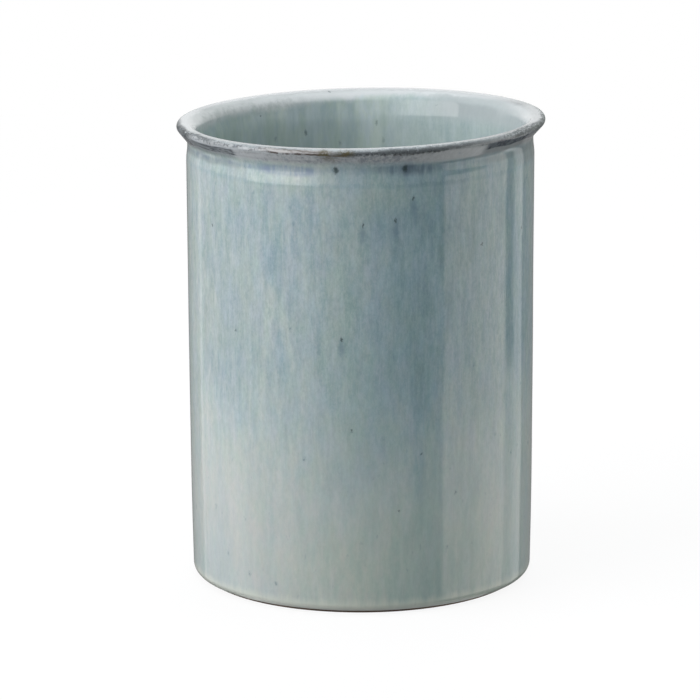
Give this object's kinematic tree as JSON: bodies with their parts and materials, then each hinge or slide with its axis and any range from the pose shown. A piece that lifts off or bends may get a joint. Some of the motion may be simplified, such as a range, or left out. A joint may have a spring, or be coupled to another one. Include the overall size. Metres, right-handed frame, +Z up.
{
  "type": "utensil crock",
  "caption": "Straight-sided stoneware crock with a flared lip and a running blue-grey glaze, for standing kitchen utensils in",
  "frame": {"origin": "centre of the foot ring, on the surface that the crock stands on", "axes": "+Z up along the axis that the crock was turned about; X and Y are level, and alike because the crock is round"},
  "size_m": [0.1182, 0.1182, 0.15],
  "materials": {
    "stoneware": "bare fired clay, matte, toasted brown",
    "outer_glaze": "glossy running glaze, blue-grey to grey-green with fine vertical streaks and iron specks",
    "rim_glaze": "thin glossy glaze, broken to grey-brown over the edge",
    "liner_glaze": "glossy grey-green glaze, paler towards the lip",
    "base_glaze": "glossy grey-green glaze, thin"
  },
  "bodies": {
    "root": {"stoneware_body": "stoneware", "outer_glaze": "outer_glaze", "rim_glaze": "rim_glaze", "liner_glaze": "liner_glaze", "base_glaze": "base_glaze"}
  },
  "joints": []
}
